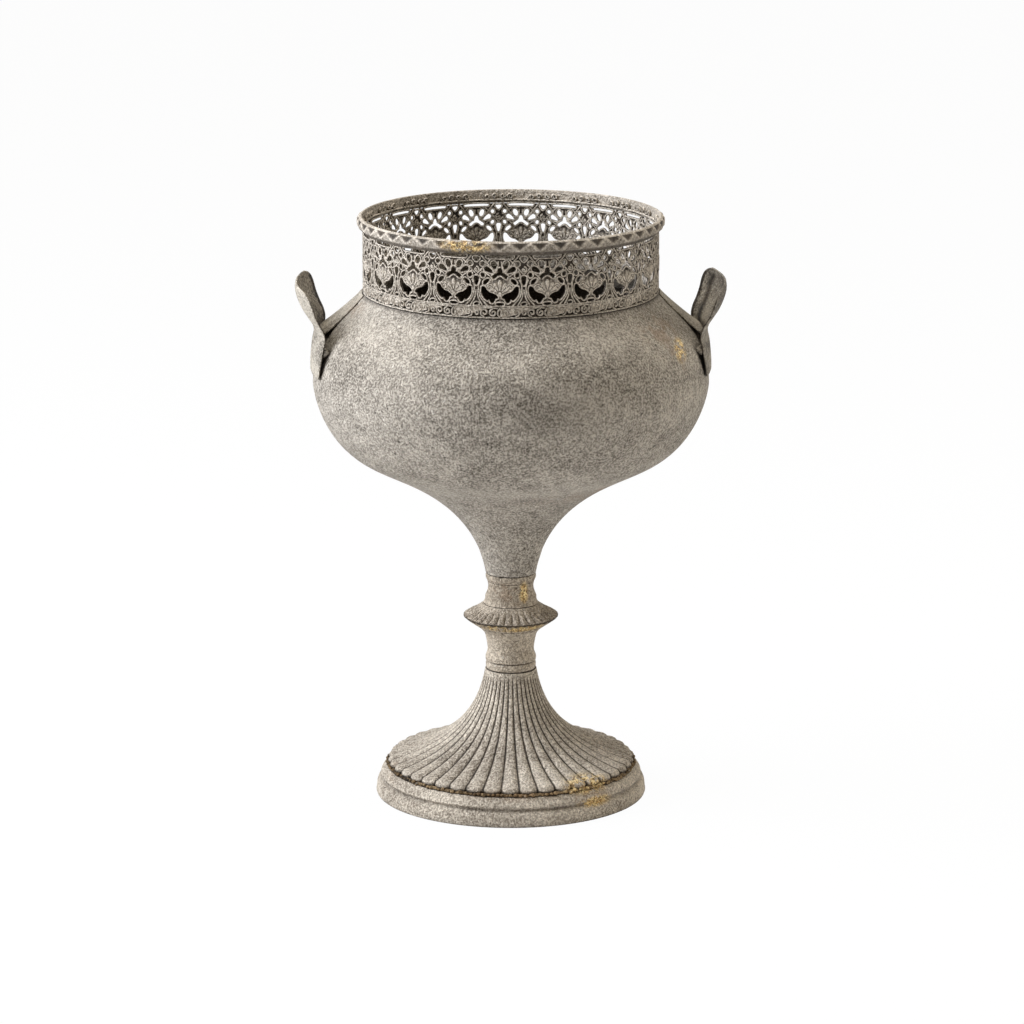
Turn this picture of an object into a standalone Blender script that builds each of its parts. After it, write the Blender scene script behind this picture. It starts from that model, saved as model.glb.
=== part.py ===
"""Footed metal urn planter: round bowl, pierced gallery, lug handles, knopped stem and fluted foot.
Scene units are metres, +Z is up, and the origin is under the centre of the foot. The front faces -Y.
The parts are stacked from the ground up, so a change of one height moves all that stands on it."""

import math

import bmesh
import bpy
from mathutils import Matrix, Vector

MM = 0.001

# radii in millimetres
FOOT_RADIUS = 83.3
STEM_RADIUS = 15.4
LOWER_WAIST_RADIUS = 14.15
UPPER_WAIST_RADIUS = 13.9
KNOP_RADIUS = 29.1
KNOP_FOOT_RADIUS = 20.0
KNOP_HEAD_RADIUS = 17.1
BOWL_RADIUS = 120.3
RIM_RADIUS = 92.8
ROD_RADIUS = 3.0
NUT_RADIUS = 5.8
WASHER_RADIUS = 8.0

# heights of the stacked parts
PLINTH_HEIGHT = 17.0
FOOT_HEIGHT = 60.1
LOWER_COLLAR_HEIGHT = 5.0
LOWER_SPOOL_HEIGHT = 21.0
KNOP_HEIGHT = 14.7
UPPER_SPOOL_HEIGHT = 13.7
NECK_COLLAR_HEIGHT = 4.7
BELLY_HEIGHT = 119.7
SHOULDER_HEIGHT = 55.2
GALLERY_HEIGHT = 46.1
RIM_HEIGHT = 8.4
NECK_LIP_HEIGHT = 7.3

# walls
BOWL_SHEET = 1.9
BOWL_FLOOR = 1.7
NECK_LIP_SHEET = 1.3
FOOT_SHEET = 2.4
FOOT_BOSS = 6.9
GALLERY_SHEET = 1.05
RIM_DEPTH = 3.4
HANDLE_SHEET = 1.6
STRAP_SHEET = 1.2
WELD_SHEET = 1.6
PLINTH_WALL = 4.3
PLINTH_TOP_SHEET = 1.6

# steps, reaches and relief
PLINTH_SLOPE = 6.3
SCALLOP_STEP = 7.3
LEDGE_DEPTH = 11.0
FOOT_LIP_DEPTH = 3.4
BEAD_HEIGHT = 1.3
BEAD_DEPTH = 1.7
BEAD_RECESS = 1.1
NOSE_HEIGHT = 5.2
NOSE_DEPTH = 2.6
NOSE_LIFT = 2.0
FLUTE_START = 1.0
FLUTE_DEPTH = 0.9
SCALLOP_DEPTH = 1.5
KNOP_FLUTE_DEPTH = 0.7
HANDLE_RISE = 8.0
HANDLE_HEIGHT = 54.5
HANDLE_WAIST = 24.8
HANDLE_PINCH = 1.55
HANDLE_FLARE = 11.2
STRAP_LIFT = 2.4
WELD_RISE = 14.9
WELD_WIDTH = 4.2
COLLAR_STEP = 0.8
NECK_SEAT_DEPTH = 0.8
WASHER_SHEET = 1.2
NUT_HEIGHT = 5.2
ROD_TOP_SPARE = 5.0
ROD_FOOT_SPARE = 2.5

# clearances
GAP = 0.3
BORE_CLEARANCE = 0.4
LIP_CLEARANCE = 0.75
BEAD_CLEARANCE = 0.45
STRAP_CLEARANCE = 0.8

# counts, and angles from the front in degrees
REPEATS = 20
RIM_STUDS = 48
KNOP_FLUTES = 34
FOOT_FLUTES = 42
PALMETTE_ANGLE = -6.3
FOOT_GROOVE_ANGLE = -6.75

# levels, from the ground up
FOOT_LOW = PLINTH_HEIGHT + GAP
FOOT_TOP = FOOT_LOW + FOOT_HEIGHT
LOWER_COLLAR_LOW = FOOT_TOP + GAP
LOWER_SPOOL_LOW = LOWER_COLLAR_LOW + LOWER_COLLAR_HEIGHT + GAP
KNOP_LOW = LOWER_SPOOL_LOW + LOWER_SPOOL_HEIGHT + GAP
UPPER_SPOOL_LOW = KNOP_LOW + KNOP_HEIGHT + GAP
NECK_COLLAR_LOW = UPPER_SPOOL_LOW + UPPER_SPOOL_HEIGHT + GAP
BOWL_LOW = NECK_COLLAR_LOW + NECK_COLLAR_HEIGHT + GAP
BELLY = BOWL_LOW + BELLY_HEIGHT
BOWL_TOP = BELLY + SHOULDER_HEIGHT
GALLERY_LOW = BOWL_TOP + GAP
GALLERY_TOP = GALLERY_LOW + GALLERY_HEIGHT
RIM_TOP = GALLERY_TOP + GAP

# radii that follow from others
BORE_RADIUS = ROD_RADIUS + BORE_CLEARANCE
RIM_INNER = RIM_RADIUS - RIM_DEPTH
GALLERY_OUTER = RIM_INNER - GAP
GALLERY_INNER = GALLERY_OUTER - GALLERY_SHEET
NECK_LIP_RADIUS = GALLERY_INNER - LIP_CLEARANCE
NECK_BORE = NECK_LIP_RADIUS - NECK_LIP_SHEET
SCALLOP_RADIUS = FOOT_RADIUS - SCALLOP_STEP
BEAD_INNER = SCALLOP_RADIUS - BEAD_RECESS

METAL = (0.42, 0.39, 0.35)
STEEL = (0.5, 0.5, 0.5)


def start():
    for old in list(bpy.data.objects):
        bpy.data.objects.remove(old, do_unlink=True)
    made = {}
    for name in ("footed_planter", "cutters"):
        made[name] = bpy.data.collections.new(name)
        bpy.context.scene.collection.children.link(made[name])
    return made


GROUPS = start()


def painted(obj, colour, rough):
    """Gives one part its own patinated metal."""
    made = bpy.data.materials.new(obj.name + "_metal")
    made.use_nodes = True
    shader = made.node_tree.nodes["Principled BSDF"]
    shader.inputs["Base Color"].default_value = (*colour, 1.0)
    shader.inputs["Roughness"].default_value = rough
    shader.inputs["Metallic"].default_value = 0.35
    obj.data.materials.append(made)


def placed(name, bm, colour=METAL, rough=0.7, smooth=True):
    """Turns a bmesh into a named part with outward normals."""
    bmesh.ops.remove_doubles(bm, verts=bm.verts, dist=1e-6)
    bmesh.ops.recalc_face_normals(bm, faces=bm.faces)
    mesh = bpy.data.meshes.new(name)
    bm.to_mesh(mesh)
    bm.free()
    obj = bpy.data.objects.new(name, mesh)
    GROUPS["footed_planter"].objects.link(obj)
    if smooth:
        mesh.shade_smooth()
        mesh.set_sharp_from_angle(angle=math.radians(35))
    painted(obj, colour, rough)
    return obj


def evaluated(obj):
    """The mesh of an object with its modifiers, as a bmesh, and the object removed."""
    graph = bpy.context.evaluated_depsgraph_get()
    graph.update()
    mesh = bpy.data.meshes.new_from_object(obj.evaluated_get(graph))
    bm = bmesh.new()
    bm.from_mesh(mesh)
    bpy.data.meshes.remove(mesh)
    bpy.data.objects.remove(obj, do_unlink=True)
    return bm


def between(low, high, shares):
    """Places given as shares from one (height, radius) to another."""
    return [(low[0] + (high[0] - low[0]) * s, low[1] + (high[1] - low[1]) * t) for s, t in shares]


def bend(start_point, first_pull, second_pull, end_point, count):
    """Bezier points from the start to just short of the end, as (height, radius)."""
    line = []
    for k in range(count):
        t = k / count
        parts = ((1 - t) ** 3, 3 * t * (1 - t) ** 2, 3 * t * t * (1 - t), t ** 3)
        points = (start_point, first_pull, second_pull, end_point)
        line.append(tuple(sum(w * p[axis] for w, p in zip(parts, points)) for axis in (0, 1)))
    return line


def inset(points, depth):
    """The same profile moved inward along its normals by depth."""
    moved = []
    for i, (z, r) in enumerate(points):
        z0, r0 = points[max(i - 1, 0)]
        z1, r1 = points[min(i + 1, len(points) - 1)]
        dz, dr = z1 - z0, r1 - r0
        long = math.hypot(dz, dr)
        moved.append((z - depth * dr / long, r + depth * dz / long))
    return moved


def turned(name, outline, steps, shape=None, turn=0.0, **look):
    """Spins a closed outline once round Z. shape(share, z, r) gives a fluted radius round the circle."""
    mesh = bpy.data.meshes.new(name)
    verts = [(r * MM, 0.0, z * MM) for z, r in outline]
    mesh.from_pydata(verts, [(i, (i + 1) % len(verts)) for i in range(len(verts))], [])
    obj = bpy.data.objects.new(name + "_profile", mesh)
    GROUPS["footed_planter"].objects.link(obj)
    screw = obj.modifiers.new("turn", "SCREW")
    screw.axis = "Z"
    screw.angle = 2 * math.pi
    screw.steps = steps
    screw.render_steps = steps
    screw.use_merge_vertices = True
    screw.merge_threshold = 1e-6
    bm = evaluated(obj)
    bmesh.ops.remove_doubles(bm, verts=bm.verts, dist=1e-6)
    if shape:
        for v in bm.verts:
            r = math.hypot(v.co.x, v.co.y)
            share = math.atan2(v.co.y, v.co.x) / (2 * math.pi)
            new = shape(share, v.co.z / MM, r / MM) * MM
            v.co.x *= new / r
            v.co.y *= new / r
    bmesh.ops.rotate(bm, verts=bm.verts, cent=(0, 0, 0), matrix=Matrix.Rotation(math.radians(turn), 3, "Z"))
    return placed(name, bm, **look)


def bored(outline):
    """A stem piece's outer profile, top to bottom, closed along the bore for the rod."""
    return [(outline[0][0], BORE_RADIUS)] + outline + [(outline[-1][0], BORE_RADIUS)]


def bowl_profile():
    """The bowl's outside, from the gallery's seat over the belly down to the stem, in three bends."""
    seat = (BOWL_TOP, GALLERY_OUTER)
    widest = (BELLY, BOWL_RADIUS)
    foot = (BOWL_LOW, STEM_RADIUS)
    leaving, rounding = between(seat, widest, [(0.31, 0.5), (0.39, 1.0)])
    under, closing, turning, opening, hanging = between(
        foot, widest, [(0.98, 1.0), (0.738, 0.967), (0.616, 0.738), (0.517, 0.553), (0.398, 0.081)])
    line = bend(seat, leaving, rounding, widest, 5)
    line += bend(widest, under, closing, turning, 5)
    line += bend(turning, opening, hanging, foot, 9)
    return line + [foot]


def reach(line, height):
    """The outer radius at a height, along a profile or a sheet's rows."""
    for (z0, r0), (z1, r1) in zip([p[:2] for p in line], [p[:2] for p in line[1:]]):
        if min(z0, z1) <= height <= max(z0, z1):
            return r1 + (r0 - r1) * (height - z1) / (z0 - z1)
    return line[0][1]


BOWL = bowl_profile()
HANDLE_LOW = BELLY + HANDLE_RISE
WELD_LOW = HANDLE_LOW + WELD_RISE
WAIST = HANDLE_LOW + HANDLE_WAIST
HANDLE_FOOT = reach(BOWL, HANDLE_LOW) + GAP + HANDLE_SHEET
HANDLE_SEAT = reach(BOWL, WELD_LOW) + WELD_SHEET + 4 * GAP + HANDLE_SHEET
WAIST_RADIUS = HANDLE_SEAT - HANDLE_PINCH


def bowl_shell():
    floor_top = BOWL_LOW + BOWL_FLOOR
    wall = [p for p in inset(BOWL[1:], BOWL_SHEET) if p[0] > floor_top + 1.0]
    floor = [(BOWL_LOW, BORE_RADIUS), (floor_top, BORE_RADIUS), (floor_top, STEM_RADIUS - BOWL_SHEET + 0.3)]
    lip_top = BOWL_TOP + NECK_LIP_HEIGHT
    mouth = [(BOWL_TOP - NECK_SEAT_DEPTH, NECK_BORE), (lip_top, NECK_BORE), (lip_top, NECK_LIP_RADIUS),
             (BOWL_TOP, NECK_LIP_RADIUS)]
    turned("bowl_shell", BOWL + floor + wall[::2][::-1] + mouth, 52)


def gallery_cell():
    """One flat repeat of the pierced strip: its outline and the holes inside it, as shares of half its width
    and of its height."""
    right = [(1.0, 0.0), (1.0, 0.597), (0.77, 0.514), (0.70, 0.54), (1.0, 0.633),
             (1.0, 0.787), (0.36, 0.787), (0.36, 0.824), (1.0, 0.824), (1.0, 1.0)]
    sided = [
        [(0.65, 0.744), (0.80, 0.727), (0.86, 0.65)],
        [(0.37, 0.655), (0.67, 0.655), (0.52, 0.597)],
        [(0.27, 0.455), (0.50, 0.466), (0.47, 0.51)],
        [(0.20, 0.416), (0.26, 0.293), (0.47, 0.228), (0.83, 0.25), (0.83, 0.312), (0.45, 0.336)],
    ]
    holes = [[(-0.09, 0.527), (0.09, 0.527), (0.0, 0.453)]]
    for hole in sided:
        holes.append(hole)
        holes.append([(-u, h) for u, h in hole])
    return right + [(-u, h) for u, h in right[::-1]], holes


def gallery_band():
    middle = (GALLERY_OUTER + GALLERY_INNER) / 2
    half = math.pi * middle / REPEATS
    outline, holes = gallery_cell()
    curve = bpy.data.curves.new("gallery_cell", "CURVE")
    curve.dimensions = "2D"
    curve.fill_mode = "BOTH"
    curve.extrude = GALLERY_SHEET / 2
    for loop in [outline] + holes:
        line = curve.splines.new("POLY")
        line.points.add(len(loop) - 1)
        for point, (u, h) in zip(line.points, loop):
            point.co = (u * half, GALLERY_LOW + h * GALLERY_HEIGHT, 0.0, 1.0)
        line.use_cyclic_u = True
    obj = bpy.data.objects.new("gallery_cell", curve)
    GROUPS["cutters"].objects.link(obj)
    cell = evaluated(obj)
    bmesh.ops.remove_doubles(cell, verts=cell.verts, dist=1e-4)
    everything = cell.verts[:] + cell.edges[:] + cell.faces[:]
    bmesh.ops.bisect_plane(cell, geom=everything, dist=1e-5, plane_co=(0, 0, 0), plane_no=(1, 0, 0))
    seam = [f for f in cell.faces if all(abs(abs(v.co.x) - half) < 1e-3 for v in f.verts)]
    bmesh.ops.delete(cell, geom=seam, context="FACES")
    step = 2 * math.pi / REPEATS
    first = math.radians(PALMETTE_ANGLE) + step / 2
    for v in cell.verts:
        angle = first + v.co.x / half * step / 2
        radius = (middle + v.co.z) * MM
        v.co = Vector((radius * math.sin(angle), -radius * math.cos(angle), v.co.y * MM))
    one = bpy.data.meshes.new("one_repeat")
    cell.to_mesh(one)
    cell.free()
    ring = bmesh.new()
    for _ in range(REPEATS):
        ring.from_mesh(one)
        one.transform(Matrix.Rotation(step, 4, "Z"))
    bpy.data.meshes.remove(one)
    bmesh.ops.remove_doubles(ring, verts=ring.verts, dist=2e-6)
    placed("gallery_band", ring, smooth=False)


def rim_bead():
    """The rolled rim, whose two ridges swell and sink in turn, so that triangles stand round it."""
    low = RIM_TOP - RIM_HEIGHT
    seat, full = (low, RIM_INNER), (RIM_TOP, RIM_RADIUS)
    outline = between(seat, full, [(1.0, 0.0), (1.0, 0.65), (0.76, 0.9), (0.46, 0.82), (0.24, 0.47), (0.0, 0.15),
                                   (0.0, 0.0)])
    upper, lower = outline[2], outline[3]

    def studded(share, z, r):
        high = round(share * 2 * RIM_STUDS) % 2 == 0
        if math.dist((z, r), upper) < 0.01:
            return RIM_RADIUS if high else RIM_RADIUS - 0.2 * RIM_DEPTH
        if math.dist((z, r), lower) < 0.01:
            return RIM_RADIUS - (0.26 if high else 0.12) * RIM_DEPTH
        return r

    turned("rim_bead", outline, 2 * RIM_STUDS, studded, turn=PALMETTE_ANGLE)


def curved_sheet(name, rows, columns, thickness, side):
    """A sheet bent round the bowl's axis at one side. rows are (height, outer radius, half angle)."""
    bm = bmesh.new()
    bmesh.ops.create_grid(bm, x_segments=columns, y_segments=len(rows) - 1, size=1.0)
    for v in bm.verts:
        place = (v.co.y + 1) / 2 * (len(rows) - 1)
        i = min(int(place + 1e-6), len(rows) - 2)
        z, r, half = [a + (b - a) * (place - i) for a, b in zip(rows[i], rows[i + 1])]
        angle = math.radians(half) * v.co.x
        v.co = Vector((side * r * math.cos(angle), r * math.sin(angle), z)) * MM
    bm.normal_update()
    turned_in = [f for f in bm.faces if f.normal.x * side < 0]
    bmesh.ops.reverse_faces(bm, faces=turned_in)
    mesh = bpy.data.meshes.new(name)
    bm.to_mesh(mesh)
    bm.free()
    obj = bpy.data.objects.new(name + "_sheet", mesh)
    GROUPS["footed_planter"].objects.link(obj)
    thick = obj.modifiers.new("thick", "SOLIDIFY")
    thick.thickness = thickness * MM
    thick.offset = -1.0
    thick.use_even_offset = True
    return placed(name, evaluated(obj))


def handle_rows():
    """The plate that is held against the bowl, the waist above it and the flared lug with its round top."""
    plate = [(0.0, 0.0, 17.0), (0.55, 0.15, 19.2), (1.0, 1.0, 20.6)]
    lug = [(0.0, 0.0, 21.2), (0.17, 0.12, 21.6), (0.33, 0.38, 22.2), (0.51, 0.67, 22.6), (0.69, 0.89, 22.2),
           (0.84, 1.0, 21.0), (0.94, 0.99, 18.4), (1.0, 0.96, 14.5)]
    rows = []
    for share, lean, half in plate:
        rows.append((HANDLE_LOW + share * WELD_RISE, HANDLE_FOOT + lean * (HANDLE_SEAT - HANDLE_FOOT), half))
    for share, flare, half in lug:
        rows.append((WAIST + share * (HANDLE_HEIGHT - HANDLE_WAIST), WAIST_RADIUS + flare * HANDLE_FLARE, half))
    return rows


def strap_rows():
    """The strap that rests on the shoulder and lifts off it towards the handle's waist."""
    count = 6
    low, high = WAIST + GAP, GALLERY_LOW
    end_lift = WAIST_RADIUS - HANDLE_SHEET - STRAP_CLEARANCE - reach(BOWL, low)
    rows = []
    for i in range(count):
        share = i / (count - 1)
        z = high + (low - high) * share
        lift = STRAP_LIFT + (end_lift - STRAP_LIFT) * share ** 3
        rows.append((z, reach(BOWL, z) + lift, 11.2 + 2.0 * share))
    return rows


def weld_rows():
    """The seam that fills the space between the bowl and the back of a handle."""
    handle = handle_rows()
    rows = []
    for share, half in ((0.0, 13.5), (0.5, 14.2), (1.0, 13.5)):
        z = WELD_LOW + share * WELD_WIDTH
        rows.append((z, reach(handle, z) - HANDLE_SHEET - 2 * GAP, half))
    return rows


def foot_profile():
    """The flared foot's outside, top to bottom, with its nose over the beads."""
    top = (FOOT_TOP, STEM_RADIUS + 0.5)
    edge = (FOOT_LOW + NOSE_HEIGHT, SCALLOP_RADIUS - NOSE_DEPTH)
    tip = (FOOT_LOW + NOSE_LIFT, SCALLOP_RADIUS)
    falling, spreading = between(top, edge, [(0.69, 0.115), (0.857, 0.553)])
    return bend(top, falling, spreading, edge, 10) + between(edge, tip, [(0.0, 0.0), (0.56, 0.69), (1.0, 1.0)])


def foot_shell():
    outer = foot_profile()
    top, edge = outer[0], outer[-3]
    boss_low = FOOT_TOP - FOOT_BOSS
    boss = [(boss_low, STEM_RADIUS), (boss_low, BORE_RADIUS), (FOOT_TOP, BORE_RADIUS)]
    lip_outer = BEAD_INNER - BEAD_CLEARANCE
    over_beads = FOOT_LOW + BEAD_HEIGHT + BEAD_CLEARANCE
    lip = [(over_beads, lip_outer), (FOOT_LOW, lip_outer), (FOOT_LOW, lip_outer - FOOT_LIP_DEPTH)]
    wall = [p for p in inset(outer, FOOT_SHEET) if p[1] < lip[-1][1] - 0.5 and p[0] < boss_low - 1.0]

    def fluted(share, z, r):
        if not any(math.dist((z, r), p) < 0.01 for p in outer):
            return r
        groove = round(share * 3 * FOOT_FLUTES) % 3 == 0
        if not groove or z > FOOT_TOP - FLUTE_START:
            return r
        if z < edge[0] + 0.1:
            return r - SCALLOP_DEPTH
        return r - FLUTE_DEPTH * min(1.0, 0.4 + 2 * (r - top[1]) / (edge[1] - top[1]))

    turned("foot_shell", outer + lip + wall[::2][::-1] + boss, 3 * FOOT_FLUTES, fluted, turn=FOOT_GROOVE_ANGLE - 90)


def knop_disc():
    head, foot = (KNOP_LOW + KNOP_HEIGHT, KNOP_HEAD_RADIUS), (KNOP_LOW, KNOP_FOOT_RADIUS)
    edge = (KNOP_LOW + 0.47 * KNOP_HEIGHT, KNOP_RADIUS)
    over = between(head, edge, [(0.0, 0.0), (0.53, 0.5), (0.86, 0.91)])
    under = between(edge, foot, [(0.0, 0.0), (0.17, 0.09), (0.46, 0.45), (1.0, 1.0)])
    grooved = over[1:] + under[1:3]

    def fluted(share, z, r):
        low = round(share * 2 * KNOP_FLUTES) % 2 == 1
        return r - KNOP_FLUTE_DEPTH if low and any(math.dist((z, r), p) < 0.01 for p in grooved) else r

    turned("knop_disc", bored(over + under), 2 * KNOP_FLUTES, fluted)


def stem_pieces():
    waist = (UPPER_SPOOL_LOW, UPPER_WAIST_RADIUS)
    bead = (UPPER_SPOOL_LOW + UPPER_SPOOL_HEIGHT, STEM_RADIUS)
    upper = between(waist, bead, [(1.0, 0.4), (0.82, 0.0), (0.61, 0.2), (0.42, 0.87), (0.24, 1.2)])
    upper.append((UPPER_SPOOL_LOW, KNOP_HEAD_RADIUS - 0.2))
    turned("upper_spool", bored(upper), 32)
    head = (LOWER_SPOOL_LOW + LOWER_SPOOL_HEIGHT, KNOP_FOOT_RADIUS - 0.5)
    waist = (LOWER_SPOOL_LOW + 0.38 * LOWER_SPOOL_HEIGHT, LOWER_WAIST_RADIUS)
    foot = (LOWER_SPOOL_LOW, STEM_RADIUS)
    lower = between(head, waist, [(0.0, 0.0), (0.25, 0.58), (0.49, 0.77), (0.73, 0.9)])
    lower += between(waist, foot, [(0.0, 0.0), (0.53, 0.6), (1.0, 1.0)])
    turned("lower_spool", bored(lower), 32)
    base, bead = (NECK_COLLAR_LOW, STEM_RADIUS - COLLAR_STEP), (NECK_COLLAR_LOW + NECK_COLLAR_HEIGHT, STEM_RADIUS)
    turned("neck_collar", bored(between(base, bead, [(1.0, 0.75), (0.74, 1.06), (0.36, 0.75), (0.0, 0.0)])), 32)
    base, bead = (LOWER_COLLAR_LOW, STEM_RADIUS - 0.25), (LOWER_COLLAR_LOW + LOWER_COLLAR_HEIGHT, STEM_RADIUS)
    turned("lower_collar", bored(between(base, bead, [(1.0, 0.0), (0.5, 1.0), (0.0, 0.0)])), 32)


def bead_ring():
    low, high = (FOOT_LOW, BEAD_INNER), (FOOT_LOW + BEAD_HEIGHT, BEAD_INNER + BEAD_DEPTH)
    section = between(low, high, [(1.0, 0.0), (0.92, 0.65), (0.46, 1.0), (0.0, 0.82), (0.0, 0.0)])
    turned("bead_ring", section, 84)


def plinth_ring():
    """The moulded base: a sloping band with a groove, over a hollow."""
    top, widest = (PLINTH_HEIGHT, FOOT_RADIUS - PLINTH_SLOPE), (0.0, FOOT_RADIUS)
    outer = between(top, widest, [(0.0, 0.0), (0.153, 0.22), (0.36, 0.54), (0.394, 0.52), (0.465, 0.73),
                                  (0.647, 0.92), (0.87, 1.0), (1.0, 1.0)])
    ledge = top[1] - LEDGE_DEPTH
    under = (PLINTH_HEIGHT - PLINTH_TOP_SHEET, top[1] - PLINTH_WALL + 0.3)
    hollow = between((0.0, FOOT_RADIUS - PLINTH_WALL), under, [(0.0, 0.0), (0.52, 0.07), (0.84, 0.6), (1.0, 1.0)])
    turned("plinth_ring", [(PLINTH_HEIGHT, ledge)] + outer + hollow + [(under[0], ledge)], 60)


def cylinder(radius, low, height, segments):
    bm = bmesh.new()
    bmesh.ops.create_cone(bm, cap_ends=True, segments=segments, radius1=radius * MM, radius2=radius * MM,
                          depth=height * MM)
    bmesh.ops.translate(bm, verts=bm.verts, vec=(0, 0, (low + height / 2) * MM))
    return bm


def washer(name, low):
    high = low + WASHER_SHEET
    section = [(high, BORE_RADIUS), (high, WASHER_RADIUS), (low, WASHER_RADIUS), (low, BORE_RADIUS)]
    turned(name, section, 32, colour=STEEL, rough=0.4)


def nut(name, low):
    """A hexagon with a bore cut through it."""
    made = placed(name, cylinder(NUT_RADIUS, low, NUT_HEIGHT, 6), STEEL, 0.4, smooth=False)
    mesh = bpy.data.meshes.new(name + "_bore")
    bm = cylinder(BORE_RADIUS, low - NUT_HEIGHT, 3 * NUT_HEIGHT, 24)
    bm.to_mesh(mesh)
    bm.free()
    bore = bpy.data.objects.new(name + "_bore", mesh)
    GROUPS["cutters"].objects.link(bore)
    bore.hide_render = True
    bore.display_type = "WIRE"
    cut = made.modifiers.new("bore", "BOOLEAN")
    cut.operation = "DIFFERENCE"
    cut.solver = "EXACT"
    cut.object = bore


def fasteners():
    """The rod through the stem, with a washer and a nut in the bowl and under the foot's boss."""
    bowl_washer_low = BOWL_LOW + BOWL_FLOOR + GAP
    bowl_nut_low = bowl_washer_low + WASHER_SHEET + GAP
    foot_washer_low = FOOT_TOP - FOOT_BOSS - GAP - WASHER_SHEET
    foot_nut_low = foot_washer_low - GAP - NUT_HEIGHT
    low = foot_nut_low - ROD_FOOT_SPARE
    high = bowl_nut_low + NUT_HEIGHT + ROD_TOP_SPARE
    placed("tie_rod", cylinder(ROD_RADIUS, low, high - low, 24), STEEL, 0.4)
    washer("bowl_washer", bowl_washer_low)
    nut("bowl_nut", bowl_nut_low)
    washer("foot_washer", foot_washer_low)
    nut("foot_nut", foot_nut_low)


bowl_shell()
gallery_band()
rim_bead()
for word, sign in (("left", -1), ("right", 1)):
    curved_sheet("handle_" + word, handle_rows(), 10, HANDLE_SHEET, sign)
    curved_sheet("shoulder_plate_" + word, strap_rows(), 10, STRAP_SHEET, sign)
    curved_sheet("handle_weld_" + word, weld_rows(), 8, WELD_SHEET, sign)
stem_pieces()
knop_disc()
foot_shell()
bead_ring()
plinth_ring()
fasteners()
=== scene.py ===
import math
import random

import bmesh
import bpy
from mathutils import Matrix, Vector, noise


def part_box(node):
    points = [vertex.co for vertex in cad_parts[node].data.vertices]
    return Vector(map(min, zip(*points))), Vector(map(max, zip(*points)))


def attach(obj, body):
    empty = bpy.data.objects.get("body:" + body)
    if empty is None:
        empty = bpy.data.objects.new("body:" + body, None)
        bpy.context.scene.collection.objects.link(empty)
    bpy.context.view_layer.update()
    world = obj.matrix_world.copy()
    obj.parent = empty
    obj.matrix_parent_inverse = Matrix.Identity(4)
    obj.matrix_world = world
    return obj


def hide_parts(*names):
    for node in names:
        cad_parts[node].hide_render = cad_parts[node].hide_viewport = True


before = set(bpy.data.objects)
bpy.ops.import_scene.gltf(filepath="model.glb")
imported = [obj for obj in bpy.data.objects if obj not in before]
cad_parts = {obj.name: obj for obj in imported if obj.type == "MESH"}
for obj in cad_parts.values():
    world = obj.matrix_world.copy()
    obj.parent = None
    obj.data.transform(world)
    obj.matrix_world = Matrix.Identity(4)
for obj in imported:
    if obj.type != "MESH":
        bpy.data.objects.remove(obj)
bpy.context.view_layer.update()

MM = 0.001
BODY = "root"

# the camera, from the photograph's perspective, in degrees and millimetres
VIEW_PITCH = 13.646
VIEW_TURN = 2.25
VIEW_DISTANCE = 2906.7
VIEW_HEIGHT = 175.8
VIEW_SIDE = 0.73
IMAGE_WIDTH = 1024
FOCAL_PIXELS = 4760.4
SENSOR_WIDTH = 36.0

# light strengths and colours
WORLD_LIGHT = 0.15
WORLD_TINT = (1.19, 1.0, 0.73, 1.0)
KEY_POWER = 60.0
KEY_SHADE = (0.95, 1.0, 1.09)
ABOVE_POWER = 19.0
EDGE_POWER = 8.0
WARM_SHADE = (1.03, 1.0, 0.93)
LIT_PLACE = (0.0, 0.0, 0.2)
WHITE = (1.0, 1.0, 1.0, 1.0)

# the floor: its size and drop in metres, and how far it shows plain white to the camera
FLOOR_SIZE = 8.0
FLOOR_DROP = 0.0002
FLOOR_GREY = (0.8, 0.8, 0.8, 1.0)
FLOOR_GLOW = 0.97

# counts, and angles from the front in degrees, as in the solids
REPEATS = 20
RIM_STUDS = 48
KNOP_FLUTES = 34
FOOT_FLUTES = 42
PALMETTE_ANGLE = -6.3
FOOT_GROOVE_ANGLE = -6.75


def low(node):
    """The height of a solid's lowest point, in millimetres."""
    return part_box(node)[0][2] / MM


def top(node):
    """The height of a solid's highest point, in millimetres."""
    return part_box(node)[1][2] / MM


def reach(node):
    """How far a solid stands out from the axis, in millimetres."""
    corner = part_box(node)[1]
    return max(corner[0], corner[1]) / MM


# gaps between the solids, and the height of the bowl's widest place as a share of the bowl's height
BORE_PLAY = 0.4
SEAT_GAP = 0.3
BELLY_SHARE = 0.6844

# sizes read from the solids, in millimetres
ROD_RADIUS = reach("tie_rod")
BORE_RADIUS = ROD_RADIUS + BORE_PLAY
STEM_RADIUS = reach("lower_collar")
BOWL_RADIUS = reach("bowl_shell")
BOWL_LOW = low("bowl_shell")
GALLERY_LOW = low("gallery_band")
BOWL_TOP = GALLERY_LOW - SEAT_GAP
BELLY = BOWL_LOW + BELLY_SHARE * (BOWL_TOP - BOWL_LOW)
GALLERY_TOP = top("gallery_band")
GALLERY_OUTER = reach("gallery_band")
RIM_LOW = low("rim_bead")
RIM_TOP = top("rim_bead")
RIM_RADIUS = reach("rim_bead")
FOOT_RADIUS = reach("plinth_ring")
PLINTH_TOP = top("plinth_ring")
FOOT_LOW = low("foot_shell")
FOOT_TOP = top("foot_shell")
SCALLOP_RADIUS = reach("foot_shell")
KNOP_RADIUS = reach("knop_disc")
HANDLE_LOW = low("handle_right")
HANDLE_TOP = top("handle_right")
HANDLE_REACH = reach("handle_right")

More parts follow.
